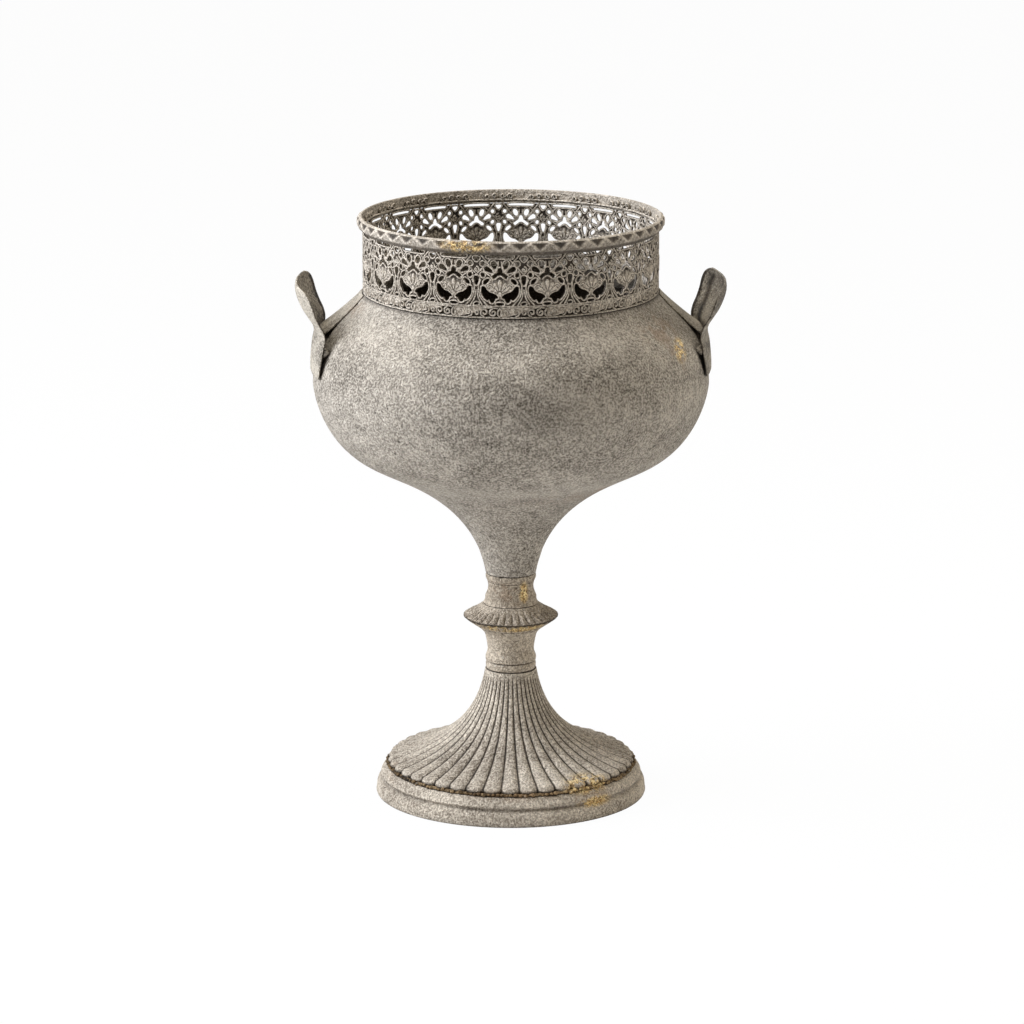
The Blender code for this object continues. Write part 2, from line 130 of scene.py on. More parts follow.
# facets round a whole piece, for each stud and flute, and across the plate of one repeat
BIG_FACETS = 240
BEAD_SEAT_FACETS = 168
SPOOL_FACETS = 128
RING_FACETS = 96
NUT_FACETS = 72
WASHER_FACETS = 48
ROD_FACETS = 32
STUD_FACETS = 16
FOOT_FLUTE_FACETS = 16
KNOP_FLUTE_FACETS = 12
PLATE_COLUMNS = 12

# sheet thicknesses of the finished pieces, in millimetres
BOWL_SHEET = 1.5
BOWL_FLOOR = 1.6
FOOT_SHEET = 1.8
HANDLE_SHEET = 1.2
STRAP_SHEET = 1.0
SEAM_SHEET = 4.0
STRIP_SHEET = 0.72

# the strip: how far in its middle lies, the heights of its borders' edges and of the palmettes' roots
PLATE_INSET = 0.5
LOWER_BORDER = 7.6
UPPER_BORDER = 40.2
PALMETTE_ROOT = 15.2

# the strip's relief wires: radius, how much thicker they stand than wide, and their highest stand
WIRE_RADIUS = 0.56
WIRE_STAND = 1.5
WIRE_HIGHEST = 1.0

# the row of beads: the seed of its draws, the radii, the spacing in radii, and the height for the width
BEAD_SEED = 11
BEAD_SIZES = (0.8, 1.6)
BEAD_SPACING = (1.7, 3.4)
BEAD_FLATNESS = 0.75

# heights of the plinth and of the boss in the foot
PLINTH_HEIGHT = 17.0
BOSS_HEIGHT = 6.9

# the rod's thread, and the lumps of the welded seams (height in metres, and how many to a metre)
THREAD_DEPTH = 0.35
THREAD_PITCH = 1.25
SEAM_LUMP = 0.0006
SEAM_LUMPS_PER_METRE = 260

# the slow unevenness of handmade metal: how fast it varies round the axis, and up it over so many millimetres
WAVES_ROUND = 1.7
WAVE_HEIGHT = 45

# textures: features per metre, the grain's height in metres with its strength, and the metal's mirroring
CLOUD_SCALE = 16.0
BLOTCH_SCALE = 120.0
WEAR_SCALE = 210.0
STEEL_SCALE = 300.0
PALE_SCALE = 430.0
PIT_SCALE = 440.0
WINDING_SCALE = 450.0
FINE_SCALE = 780.0
GRAIN_HEIGHT = 0.0007
GRAIN_STRENGTH = 0.75
DULL_SPECULAR = 0.2

# the sockets of a node that mixes colours
MIX_SHARE, MIX_FIRST, MIX_SECOND, MIX_RESULT = 0, 6, 7, 2


def seen(side, ahead, height):
    """The place in the frame, in metres, that the camera sees so far right, away and up, in millimetres."""
    turn = math.radians(VIEW_TURN)
    x = side * math.cos(turn) + ahead * math.sin(turn)
    y = -side * math.sin(turn) + ahead * math.cos(turn)
    return Vector((x, y, height)) * MM


# spots of wear and of rust, and patches of painted shade: centre, and half sizes in mm
BRASS = [
    (seen(-27, -88, 356.5), (19, 14, 4.5)),
    (seen(8, -13, 128), (3.5, 8, 8)),
    (seen(2, -22, 108), (27, 14, 3.0)),
    (seen(46, -58, 20.0), (20, 18, 6.0)),
    (seen(52, -62, 10.5), (14, 16, 3.6)),
    (seen(101, -52, 288), (5, 12, 9)),
]
RUST = [
    (seen(-71, -22, 23), (9, 12, 5)),
    (seen(92, -55, 300), (22, 30, 14)),
    (seen(35, -10, 200), (75, 70, 12)),
    (seen(-97, -25, 309), (12, 25, 8)),
    (seen(0, -12, 128), (16, 16, 10)),
    (seen(0, -78, 18), (60, 16, 4)),
    (seen(-70, -30, 17), (12, 12, 5)),
    (seen(-27, -88, 356), (26, 16, 6)),
    (seen(96, -58, 283), (14, 16, 14)),
    (seen(50, -60, 15), (22, 22, 10)),
]
# patches of painted shade on the front, right of the middle, where the bowl and gallery fall into shade
SHADE_PATCHES = [
    (seen(28, -112, 262), (34, 30, 22)),
    (seen(66, -80, 291), (24, 30, 10)),
    (seen(40, -70, 350), (22, 20, 10)),
]


class Nodes:
    """A short way to write a material's node tree."""

    def __init__(self, name):
        self.material = bpy.data.materials.new(name)
        self.material.use_nodes = True
        self.tree = self.material.node_tree
        self.shader = self.tree.nodes["Principled BSDF"]

    def put(self, socket, value):
        if isinstance(value, bpy.types.NodeSocket):
            self.tree.links.new(value, socket)
        else:
            socket.default_value = value

    def add(self, kind, values=None, **settings):
        node = self.tree.nodes.new(kind)
        for key, value in settings.items():
            setattr(node, key, value)
        for key, value in (values or {}).items():
            self.put(node.inputs[key], value)
        return node

    def math(self, operation, a, b=0.0, c=0.0, clamp=False):
        return self.add("ShaderNodeMath", {0: a, 1: b, 2: c}, operation=operation, use_clamp=clamp).outputs[0]

    def spread(self, value, start, stop, to_start=0.0, to_stop=1.0):
        """Maps a range smoothly onto another."""
        values = {"Value": value, "From Min": start, "From Max": stop, "To Min": to_start, "To Max": to_stop}
        return self.add("ShaderNodeMapRange", values, interpolation_type="SMOOTHSTEP").outputs[0]

    def mix(self, share, a, b):
        node = self.add("ShaderNodeMix", data_type="RGBA")
        self.put(node.inputs[MIX_SHARE], share)
        self.put(node.inputs[MIX_FIRST], a)
        self.put(node.inputs[MIX_SECOND], b)
        return node.outputs[MIX_RESULT]

    def noise(self, place, scale, detail, rough, distortion=0.0):
        values = {"Vector": place, "Scale": scale, "Detail": detail, "Roughness": rough,
                  "Distortion": distortion}
        return self.add("ShaderNodeTexNoise", values).outputs["Fac"]

    def dots(self, place, scale, share, size):
        """Small round dots in some cells of a loose grid, more of them the higher the share is, 0 to 1."""
        cells = self.add("ShaderNodeTexVoronoi", {"Vector": place, "Scale": scale})
        chosen = self.math("LESS_THAN", cells.outputs["Color"], share)
        return self.math("MULTIPLY", chosen, self.spread(cells.outputs["Distance"], size, size * 0.4))

    def vector(self, operation, a, b=(0.0, 0.0, 0.0)):
        node = self.add("ShaderNodeVectorMath", {0: a, 1: b}, operation=operation)
        return node.outputs["Value" if operation == "LENGTH" else "Vector"]

    def near(self, place, spots, soft=0.45, edge=1.15):
        """How far inside any of the spots a point is: 0 beyond the edge share of their sizes, and 1 within
        the soft share."""
        total = 0.0
        for centre, half in spots:
            offset = self.vector("SUBTRACT", place, centre)
            share = self.vector("DIVIDE", offset, Vector(half) * MM)
            length = self.vector("LENGTH", share)
            total = self.math("MAXIMUM", self.spread(length, edge, soft), total)
        return total


def colour(red, green, blue):
    """A colour written as a screen shows it, 0 to 255, as linear light."""
    def linear(value):
        value /= 255
        return value / 12.92 if value <= 0.04045 else ((value + 0.055) / 1.055) ** 2.4
    return (linear(red), linear(green), linear(blue), 1.0)


PIT_BROWN = colour(50, 43, 36)
PALE_GRAIN = colour(232, 226, 214)
RUST_BROWN = colour(120, 90, 60)
# the brown of the painted shade patches
SHADE_BROWN = colour(70, 62, 54)
# the dark browns of painted shade in the crevices and of dirt
DARK_SHADE_AND_DIRT = colour(32, 28, 24)
BROWN_SHADE_AND_DIRT = colour(60, 48, 36)
DULL_BRASS = colour(116, 88, 50)
PLAIN_BRASS = colour(206, 172, 116)
BRIGHT_BRASS = colour(250, 226, 168)


def lightness(n, broad, blotch, ridge, fine, grain, cloud):
    """How light the metal is, 0 to 1, from its broad clouds down to its finest grain."""
    tone = n.math("MULTIPLY_ADD", broad, cloud, 0.5 - cloud / 2 - 0.05 - 0.33 * grain)
    tone = n.math("MULTIPLY_ADD", blotch, 0.16, tone)
    tone = n.math("MULTIPLY_ADD", ridge, 0.24 * grain, tone)
    return n.math("MULTIPLY_ADD", fine, 0.54 * grain, tone, clamp=True)


def stains_and_shade(n, place, base, blotch, pits, grain):
    """The base colour with its dark pits, pale grains, rust and patches of painted shade."""
    base = n.mix(n.math("MULTIPLY", pits, 0.8 * grain), base, PIT_BROWN)
    grains = n.math("MULTIPLY", n.dots(place, PALE_SCALE, 0.24, 0.40), n.spread(blotch, 0.2, 0.8))
    base = n.mix(n.math("MULTIPLY", grains, 0.6 * grain), base, PALE_GRAIN)
    rusty = n.math("MULTIPLY", n.near(place, RUST, soft=0.1), n.spread(blotch, 0.1, 0.8))
    base = n.mix(n.math("MULTIPLY", rusty, 0.5), base, RUST_BROWN)
    # patches of painted shade
    return n.mix(n.math("MULTIPLY", n.near(place, SHADE_PATCHES, soft=0.0), 0.2), base, SHADE_BROWN)


def crevice_shade_and_dirt(n, crevice):
    """How dark the colour is made, 0 to 1: painted shade in gaps narrower than the crevice, and the painted
    shade and dirt that the piece's own mesh carries.
    """
    # painted shade: ambient occlusion darkens gaps narrower than the crevice
    crevice_shade = n.add("ShaderNodeAmbientOcclusion", {"Distance": crevice}, samples=8).outputs["AO"]
    dirt_and_shade = n.add("ShaderNodeAttribute", attribute_name="dirt_and_shade").outputs["Fac"]
    return n.math("MAXIMUM", n.spread(crevice_shade, 0.8, 0.25, 0.0, 0.85), dirt_and_shade, clamp=True)


def patina(name, light, dark, grain=1.0, cloud=0.25, crevice=0.004):
    """Granular oxidised metal: fine worm-like ridges, dark pits and pale grains, faint clouds, painted shade
    and dirt in the crevices, patches of painted shade, and brass where it has worn."""
    n = Nodes(name)
    place = n.add("ShaderNodeTexCoord").outputs["Object"]
    flat = n.add("ShaderNodeMapping", {"Vector": place, "Scale": (1.0, 1.0, 2.4)}).outputs[0]
    broad = n.spread(n.noise(flat, CLOUD_SCALE, 4.0, 0.6, 0.4), 0.34, 0.66)
    blotch = n.spread(n.noise(place, BLOTCH_SCALE, 3.0, 0.6), 0.32, 0.68)
    winding = n.noise(place, WINDING_SCALE, 1.0, 0.5, 0.7)
    ridge = n.spread(n.math("ABSOLUTE", n.math("SUBTRACT", winding, 0.5)), 0.08, 0.01)
    fine = n.spread(n.noise(place, FINE_SCALE, 1.0, 0.5), 0.36, 0.64)
    pits = n.math("MULTIPLY", n.dots(place, PIT_SCALE, 0.19, 0.44), n.spread(blotch, 0.85, 0.2))
    base = n.mix(lightness(n, broad, blotch, ridge, fine, grain, cloud), dark, light)
    base = stains_and_shade(n, place, base, blotch, pits, grain)
    shade_and_dirt = crevice_shade_and_dirt(n, crevice)
    # painted shade in crevices, with the mesh's own painted shade and dirt, darkens the colour
    base = n.mix(shade_and_dirt, base, n.mix(blotch, DARK_SHADE_AND_DIRT, BROWN_SHADE_AND_DIRT))
    worn = n.spread(n.noise(place, WEAR_SCALE, 2.0, 0.7), 0.38, 0.52)
    worn = n.math("MULTIPLY", n.near(place, BRASS), worn)
    worn = n.math("MULTIPLY", worn, n.spread(shade_and_dirt, 1.0, 0.3, 0.6, 1.0))
    brass = n.mix(ridge, n.mix(fine, DULL_BRASS, PLAIN_BRASS), BRIGHT_BRASS)
    n.put(n.shader.inputs["Base Color"], n.mix(worn, base, brass))
    n.put(n.shader.inputs["Metallic"], n.math("MULTIPLY", worn, 0.3))
    n.put(n.shader.inputs["Roughness"], n.spread(n.math("SUBTRACT", fine, worn), -0.6, 0.9, 0.45, 0.88))
    n.shader.inputs["Specular IOR Level"].default_value = DULL_SPECULAR
    height = n.math("MULTIPLY_ADD", fine, 0.8, n.math("MULTIPLY_ADD", pits, -0.8, ridge))
    relief = n.add("ShaderNodeBump", {"Strength": GRAIN_STRENGTH, "Distance": GRAIN_HEIGHT, "Height": height})
    n.put(n.shader.inputs["Normal"], relief.outputs[0])
    return n.material


def steel():
    """Plain zinc-plated steel for the hidden fasteners."""
    n = Nodes("inner_steel_finish")
    place = n.add("ShaderNodeTexCoord").outputs["Object"]
    cloud = n.noise(place, STEEL_SCALE, 3.0, 0.5)
    n.put(n.shader.inputs["Base Color"], n.mix(cloud, colour(128, 128, 126), colour(176, 176, 172)))
    n.put(n.shader.inputs["Roughness"], n.spread(cloud, 0.3, 0.7, 0.35, 0.55))
    n.shader.inputs["Metallic"].default_value = 0.9
    return n.material


def finished(name, bm, material, nodes, angle=38):
    """Makes the piece that stands for these solids, with edges sharper than the angle kept sharp."""
    bmesh.ops.recalc_face_normals(bm, faces=bm.faces)
    mesh = bpy.data.meshes.new(name)
    bm.to_mesh(mesh)
    bm.free()
    mesh.shade_smooth()
    mesh.set_sharp_from_angle(angle=math.radians(angle))
    mesh.materials.append(material)
    piece = bpy.data.objects.new(name, mesh)
    bpy.context.scene.collection.objects.link(piece)
    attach(piece, BODY)
    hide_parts(*nodes)


def through(points, spacing):
    """Points about spacing apart on a smooth curve through the given ones."""
    ends = [points[0]] + list(points) + [points[-1]]
    line = []
    for i in range(len(points) - 1):
        p0, p1, p2, p3 = ends[i:i + 4]
        count = max(1, round(math.dist(p1[:2], p2[:2]) / spacing))
        for k in range(count):
            t = k / count
            line.append(tuple(
                0.5 * (2 * b + (c - a) * t + (2 * a - 5 * b + 4 * c - d) * t * t
                       + (3 * b - a - 3 * c + d) * t ** 3)
                for a, b, c, d in zip(p0, p1, p2, p3)))
    return line + [tuple(points[-1])]


def between(first, second, shares):
    """Places given as shares of the way from one (height, radius) to another, in height and in radius."""
    (z, r), (far_z, far_r) = first, second
    return [(z + (far_z - z) * up, r + (far_r - r) * out) for up, out in shares]


def bend(start, first_pull, second_pull, end, count):
    """Bezier points from the start to just short of the end, as (height, radius)."""
    line = []
    for k in range(count):
        t = k / count
        parts = ((1 - t) ** 3, 3 * t * (1 - t) ** 2, 3 * t * t * (1 - t), t ** 3)
        points = (start, first_pull, second_pull, end)
        line.append(tuple(sum(w * p[axis] for w, p in zip(parts, points)) for axis in (0, 1)))
    return line


def inset(points, depth):
    """The same profile moved inward along its normals by depth."""
    moved = []
    for i, (z, r) in enumerate(points):
        z0, r0 = points[max(i - 1, 0)]
        z1, r1 = points[min(i + 1, len(points) - 1)]
        long = math.hypot(z1 - z0, r1 - r0)
        moved.append((z - depth * (r1 - r0) / long, r + depth * (z1 - z0) / long))
    return moved


def lathe(outline, steps, shape=None):
    """A closed outline, (height, radius), spun round Z. At each share of the turn and point i of the outline,
    shape(share, i, z, r) gives the height, the radius and the dirt."""
    bm = bmesh.new()
    # each vertex carries how dark it is painted, 0 to 1, for dirt and for painted shade
    dirt_and_shade = bm.verts.layers.float.new("dirt_and_shade")
    rings = []
    for k in range(steps):
        share = k / steps
        angle = 2 * math.pi * share
        ring = []
        for i, (z, r) in enumerate(outline):
            grime_and_shade = 0.0
            if shape:
                z, r, grime_and_shade = shape(share, i, z, r)
            vert = bm.verts.new(Vector((r * math.sin(angle), -r * math.cos(angle), z)) * MM)
            vert[dirt_and_shade] = grime_and_shade
            ring.append(vert)
        rings.append(ring)
    count = len(outline)
    for k in range(steps):
        here, there = rings[k], rings[(k + 1) % steps]
        for i in range(count):
            j = (i + 1) % count
            bm.faces.new((here[i], there[i], there[j], here[j]))
    return bm


def bored(outline):
    """A stem piece's outer profile, closed along the bore for the rod."""
    return [(outline[0][0], BORE_RADIUS)] + outline + [(outline[-1][0], BORE_RADIUS)]


def wavy(share, z, size, seed):
    """A slow unevenness of handmade metal, in mm."""
    angle = 2 * math.pi * share
    round_x, round_y = math.cos(angle) * WAVES_ROUND, math.sin(angle) * WAVES_ROUND
    return size * noise.noise(Vector((round_x, round_y, z / WAVE_HEIGHT + seed)))


def bowl_profile():
    """The bowl's outside, from the gallery's seat over the belly down to the stem, in three bends."""
    seat = (BOWL_TOP, GALLERY_OUTER)
    widest = (BELLY, BOWL_RADIUS)
    foot = (BOWL_LOW + 0.1, STEM_RADIUS)
    leaving, rounding = between(seat, widest, [(0.31, 0.5), (0.39, 1.0)])
    under, closing, turning, opening, hanging = between(
        foot, widest, [(0.98, 1.0), (0.738, 0.967), (0.616, 0.738), (0.517, 0.553), (0.398, 0.081)])
    line = bend(seat, leaving, rounding, widest, 26)
    line += bend(widest, under, closing, turning, 24)
    line += bend(turning, opening, hanging, foot, 36)
    return line + [foot]


BOWL = bowl_profile()


def bowl_reach(height):
    """The bowl's outer radius at a height."""
    for (z0, r0), (z1, r1) in zip(BOWL, BOWL[1:]):
        if z1 <= height <= z0:
            return r1 + (r0 - r1) * (height - z1) / (z0 - z1)
    return BOWL[0][1]


def bowl(material):
    """The spun bowl with its floor, and the neck lip that holds the gallery."""
    floor_low = BOWL_LOW + 0.1
    floor_top = floor_low + BOWL_FLOOR
    inner = [p for p in inset(BOWL, BOWL_SHEET)[2:][::-1] if p[0] > floor_top + 1.5]
    floor = [(floor_low, BORE_RADIUS), (floor_top, BORE_RADIUS), (floor_top, STEM_RADIUS - BOWL_SHEET)]
    neck = GALLERY_OUTER - 3.1
    lip_top = top("bowl_shell")
    mouth = [(BOWL_TOP - 0.6, neck), (lip_top - 0.3, neck), (lip_top, neck + 0.3),
             (lip_top, neck + 1.0), (lip_top - 0.3, neck + 1.3), (BOWL_TOP, neck + 1.3)]
    # the walls are uneven, and the seats at both ends stay true
    last_outer = len(BOWL) - 4
    first_inner = len(BOWL) + 6
    last_inner = first_inner + len(inner) - 9

    def uneven(share, i, z, r):
        grime_and_shade = 0.6 * max(0.0, 1 - (BOWL_TOP - z) / 1.2) if i < 4 else 0.0
        if 2 < i < last_outer or first_inner < i < last_inner:
            r += wavy(share, z, 0.35, 3.0) - 0.3
        if first_inner < i <= last_inner:
            grime_and_shade = 0.85
        return z, r, grime_and_shade

    bm = lathe(BOWL + floor + inner + mouth, BIG_FACETS, uneven)
    finished("bowl", bm, material, ["bowl_shell"])


def soft(points):
    """Cuts the corners of a closed outline twice, so that it runs round."""
    for _ in range(2):
        made = []
        for a, b in zip(points, points[1:] + points[:1]):
            made.append((a[0] * 0.75 + b[0] * 0.25, a[1] * 0.75 + b[1] * 0.25))
            made.append((a[0] * 0.25 + b[0] * 0.75, a[1] * 0.25 + b[1] * 0.75))
        points = made
    return points


def mirrored(shape):
    """The outline's other half, which runs on from its end."""
    return [(-u, h) for u, h in shape][::-1]


def grown(points, by):
    """The outline moved outward by that much."""
    area = sum(a[0] * b[1] - b[0] * a[1] for a, b in zip(points, points[1:] + points[:1]))
    turn = 1 if area > 0 else -1
    made = []
    for i, (u, h) in enumerate(points):
        a, b = points[i - 1], points[(i + 1) % len(points)]
        du, dh = b[0] - a[0], b[1] - a[1]
        long = math.hypot(du, dh) or 1.0
        made.append((u + turn * dh / long * by, h - turn * du / long * by))
    return made


def gallery_holes():
    """The holes of one repeat of the strip, in mm from the middle of its lozenge and up from its foot."""
    one_side = [
        [(2.5, 33.2), (2.9, 31.9), (4.3, 31.6), (5.1, 32.7), (4.7, 33.9), (3.4, 34.3)],
        [(9.4, 34.3), (8.7, 33.0), (9.7, 30.4), (11.2, 29.8), (12.5, 30.8), (11.9, 33.0), (10.7, 34.4)],
        [(4.6, 30.4), (5.0, 28.5), (6.6, 28.2), (9.6, 27.3), (9.4, 28.7), (7.6, 30.6), (6.1, 31.5)],
        [(2.6, 26.4), (3.4, 24.9), (4.8, 25.1), (5.0, 26.4), (4.2, 27.5), (3.0, 27.5)],
        [(3.9, 21.2), (5.0, 20.4), (6.8, 21.8), (7.9, 23.4), (6.9, 24.2), (4.9, 23.2)],
        [(3.0, 18.8), (3.7, 19.6), (5.2, 19.0), (6.4, 17.1), (8.2, 15.7), (10.2, 15.4), (12.7, 13.6),
         (12.5, 12.4), (11.2, 12.3), (10.2, 9.7), (8.5, 9.7), (7.5, 12.0), (6.3, 10.8), (4.2, 13.0),
         (2.9, 15.7)],
    ]
    middle = [
        [(-2.1, 37.0), (2.1, 37.0), (1.4, 35.4), (0.0, 34.0), (-1.4, 35.4)],
        [(-1.6, 25.2), (0.0, 25.7), (1.6, 25.2), (1.2, 22.6), (0.5, 20.2), (-0.5, 20.2), (-1.2, 22.6)],
        [(-1.4, 8.2), (1.4, 8.6), (1.2, 9.8), (-1.2, 9.5)],
    ]
    holes = [soft(shape) for shape in middle]
    for shape in one_side:
        holes.append(soft(shape))
        holes.append(soft(mirrored(shape)))
    return holes


def seam_holes(half):
    """The holes over the seam between two repeats, in mm from the palmette's middle: a slot, an inverted V
    with its stem, and the slit under the rim that ends at the lozenges."""
    slot = [(0.9, 8.1), (2.6, 8.9), (1.6, 9.6)]
    leg = [(0.7, 26.1), (2.0, 25.3), (3.4, 23.9), (4.7, 24.4),
           (4.9, 25.5), (2.7, 26.9), (1.3, 28.4), (0.9, 30.4)]
    slit = [(half - 7.6, 36.4), (half - 6.4, 36.4), (half - 5.6, 37.9)]
    return [soft(shape + mirrored(shape)) for shape in (slot, leg, slit)]


def seam_edge(hole, half):
    """The left half of a hole over the seam, from its foot up, as part of the strip's right edge."""
    left = [(half + u, h) for u, h in hole if u < 0][::-1]
    return [(half, left[0][1])] + left + [(half, left[-1][1])]


def scroll(u, h, radius, start, turns):
    """A spiral line that closes in on its middle."""
    count = round(10 * abs(turns)) + 2
    line = []
    for k in range(count):
        share = k / (count - 1)
        angle = math.radians(start + 360 * turns * share)
        out = radius * (1 - 0.75 * share)
        line.append((u + out * math.sin(angle), h + out * math.cos(angle)))
    return line


def palmette(half):
    """The five petals over the seam between two repeats, and their heart."""
    lines = []
    for degrees in (-58, -30, 0, 30, 58):
        way = math.radians(degrees)
        far = 8.2 - abs(degrees) / 30
        reaches = (1.6, 0.5 * far, 0.8 * far, far)
        petal = [(half + out * math.sin(way), PALMETTE_ROOT + out * math.cos(way)) for out in reaches]
        lines.append((petal, (1.1, 2.0, 2.6, 1.2)))
    lines.append(([(half, 13.4), (half, 15.0), (half, 16.2)], (1.2, 3.0, 1.6)))
    return lines


def one_side_relief(half, sign):
    """The raised lines on one side of a repeat: scrolls, stems, the lozenge's frame and the borders."""
    return [
        (scroll(half + sign * 5.9, 18.6, 2.3, -90 * sign, 1.5 * sign), (1.2,)),
        ([(sign * 2.65, 23.6), (sign * 1.3, 20.4), (sign * 1.5, 16.3), (sign * 2.6, 12.7), (sign * 6.5, 7.9)],
         (1.1,)),
        ([(sign * 0.4, 17.6), (sign * 1.1, 12.8), (sign * 3.6, 8.0)], (1.0,)),
        ([(sign * 12.2, 27.6), (sign * 8.2, 31.2), (sign * 5.6, 34.6), (sign * 2.4, 38.4)], (1.1,)),
        ([(0.0, 26.6), (sign * 2.2, 28.9), (sign * 5.6, 32.6), (sign * 9.0, 36.2)], (1.0,)),
        ([(sign * (half - 1.0), 34.4), (sign * (half - 1.7), 30.0), (sign * (half - 5.6), 25.2)], (1.1,)),
        ([(sign * 9.4, 24.0), (sign * 7.4, 26.2), (sign * 5.2, 27.4), (sign * 2.4, 29.0)], (1.0,)),
        (scroll(sign * 4.7, 3.9, 2.5, 180, 1.3 * sign), (1.1,)),
        (scroll(sign * 9.9, 3.7, 2.4, 0, -1.3 * sign), (1.1,)),
        ([(sign * half, 1.2), (sign * (half - 1.5), 3.2), (sign * (half - 0.6), 5.6), (sign * half, 6.4)],
         (1.1,)),
        ([(sign * 1.6, 6.6), (sign * 7.2, 6.9), (sign * (half - 1.2), 6.4)], (1.0,)),
        (scroll(sign * 7.4, 42.2, 1.9, 90, 1.2 * sign), (0.9,)),
        (scroll(sign * 2.6, 42.6, 1.6, -90, 1.2 * sign), (0.9,)),
    ]


def gallery_relief(half):
    """The raised lines of one repeat, each with its width in wires: the palmette, the lozenge's boss, both
    sides, and the edges of the borders."""
    lines = palmette(half)
    lines.append((scroll(0.0, 29.5, 1.9, 0, 1.0), (1.2,)))
    lines.append(([(0.0, 28.9), (0.0, 29.5), (0.0, 30.1)], (1.0, 2.2, 1.0)))
    for sign in (-1, 1):
        lines += one_side_relief(half, sign)
    lines.append((scroll(0.0, 3.6, 1.5, 0, 1.0), (1.1,)))
    for height in (0.7, LOWER_BORDER, UPPER_BORDER):
        lines.append(([(-half, height), (0.0, height), (half, height)], (1.0,)))
    return lines


def flat_curve(name, loops, widths=None):
    """A curve object in the strip's plane: a filled plate, or wires with their widths."""
    curve = bpy.data.curves.new(name, "CURVE")
    curve.dimensions = "2D" if widths is None else "3D"
    for index, loop in enumerate(loops):
        line = curve.splines.new("POLY")
        line.points.add(len(loop) - 1)
        for point, (u, h) in zip(line.points, loop):
            point.co = (u, GALLERY_LOW + h, 0.0, 1.0)
        line.use_cyclic_u = widths is None or widths[index] is None
        if widths and widths[index]:
            for point, width in zip(line.points, widths[index]):
                point.radius = width
    if widths is None:
        curve.fill_mode = "BOTH"
        curve.extrude = STRIP_SHEET / 2
    else:
        curve.bevel_depth = WIRE_RADIUS
        curve.bevel_resolution = 1
    return bpy.data.objects.new(name, curve)


def taken(obj):
    """The evaluated mesh of an object, which is then removed."""
    bpy.context.scene.collection.objects.link(obj)
    graph = bpy.context.evaluated_depsgraph_get()
    graph.update()
    mesh = bpy.data.meshes.new_from_object(obj.evaluated_get(graph))
    bpy.data.objects.remove(obj, do_unlink=True)
    return mesh


def strip_plate(half, holes, over_seam):
    """The pierced flat plate of one repeat, cut into columns and rows so that it can bend, with painted shade
    on it.
    """
    right = [(half, 0.0)]
    for hole in over_seam:
        right += seam_edge(hole, half)
    right.append((half, GALLERY_TOP - GALLERY_LOW))
    plate = bmesh.new()
    dirt_and_shade = plate.verts.layers.float.new("dirt_and_shade")
    plate.from_mesh(taken(flat_curve("strip", [right + mirrored(right)] + holes)))
    at_seam = [f for f in plate.faces if all(abs(abs(v.co.x) - half) < 1e-3 for v in f.verts)]
    bmesh.ops.delete(plate, geom=at_seam, context="FACES")
    cuts = [((-half + 2 * half * k / PLATE_COLUMNS, 0, 0), (1, 0, 0)) for k in range(1, PLATE_COLUMNS)]
    heights = (LOWER_BORDER, 9.0, 14.0, 19.0, 24.0, 27.0, 35.0, 40.0)
    cuts += [((0, GALLERY_LOW + h, 0), (0, 1, 0)) for h in heights]
    for place, way in cuts:
        everything = plate.verts[:] + plate.edges[:] + plate.faces[:]
        bmesh.ops.bisect_plane(plate, geom=everything, dist=1e-5, plane_co=place, plane_no=way)
    # painted shade on the plate, which lies back between the wires: less on the palmette and none on the
    # lower border
    for v in plate.verts:
        h = v.co.y - GALLERY_LOW
        on_palmette = half - abs(v.co.x) < 7.5 and 14.0 < h < 24.0
        v[dirt_and_shade] = 0.0 if h < LOWER_BORDER + 0.1 else 0.3 if on_palmette else 0.95
    return plate


def strip_wires(half, holes, over_seam):
    """The wires of one repeat as a flat mesh: those round the holes, and the relief."""
    loops = [grown(shape, WIRE_RADIUS) for shape in holes]
    loops += [[(u + half, h) for u, h in grown(shape, WIRE_RADIUS)] for shape in over_seam]
    widths = [None] * len(loops)
    for line, width in gallery_relief(half):
        if len(width) == 1:
            loops.append(through(line, 0.8))
            widths.append([width[0]] * len(loops[-1]))
        else:
            thick = through([(u, h, w) for (u, h), w in zip(line, width)], 0.7)
            loops.append([point[:2] for point in thick])
            widths.append([point[2] for point in thick])
    wires = taken(flat_curve("wires", loops, widths))
    for v in wires.vertices:
        v.co.z = math.copysign(min(abs(v.co.z) * WIRE_STAND, WIRE_HIGHEST), v.co.z)
    return wires


def gallery(material):
    """The pierced strip: a thin plate darkened with painted shade, with bright wires round the holes and in
    relief.
    """
    middle = GALLERY_OUTER - PLATE_INSET
    half = math.pi * middle / REPEATS
    holes = gallery_holes()
    over_seam = seam_holes(half)
    cell = strip_plate(half, holes, over_seam)
    cell.from_mesh(strip_wires(half, holes, over_seam))
    step = 2 * math.pi / REPEATS
    first = math.radians(PALMETTE_ANGLE) + step / 2
    for v in cell.verts:
        angle = first + v.co.x / half * step / 2
        radius = middle + v.co.z
        v.co = Vector((radius * math.sin(angle), -radius * math.cos(angle), v.co.y)) * MM
    one = bpy.data.meshes.new("one_repeat")
    cell.to_mesh(one)
    cell.free()
    ring = bmesh.new()
    for _ in range(REPEATS):
        ring.from_mesh(one)
        one.transform(Matrix.Rotation(step, 4, "Z"))
    bmesh.ops.remove_doubles(ring, verts=ring.verts, dist=1e-6)
    finished("pierced_gallery", ring, material, ["gallery_band"], angle=50)


